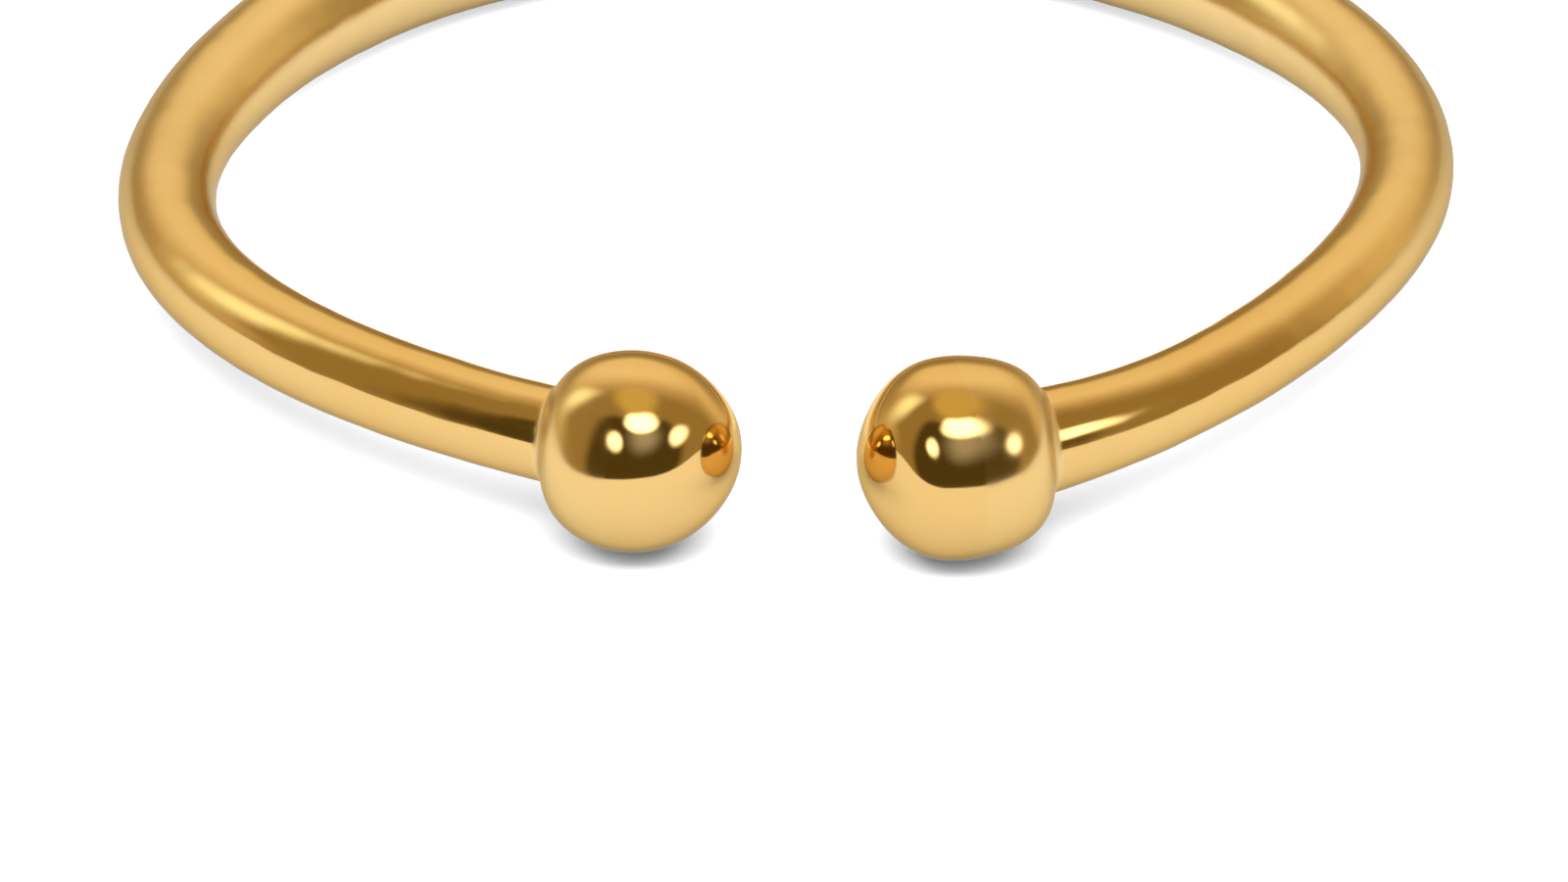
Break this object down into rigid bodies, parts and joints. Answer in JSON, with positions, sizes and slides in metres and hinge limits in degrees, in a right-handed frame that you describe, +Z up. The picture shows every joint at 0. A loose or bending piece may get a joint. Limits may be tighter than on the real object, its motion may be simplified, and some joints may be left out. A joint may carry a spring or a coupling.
{
  "type": "finger ring",
  "caption": "Open finger ring: a round polished gold wire bent to a near-full circle, thicker at the back, with a ball on each end facing across a small gap.",
  "frame": {"origin": "on the level surface the ring lies on, under the middle of the ring's box", "axes": "+Z up from that surface, -Y towards the open front with the two balls, +X to the ring's right as seen from its front and above"},
  "size_m": [0.0208, 0.0214, 0.0031],
  "materials": {
    "polished_gold": "mirror-polished yellow gold plating, slightly softer along the wire than on the balls"
  },
  "bodies": {
    "root": {"ball_end_band": "polished_gold"}
  },
  "joints": []
}
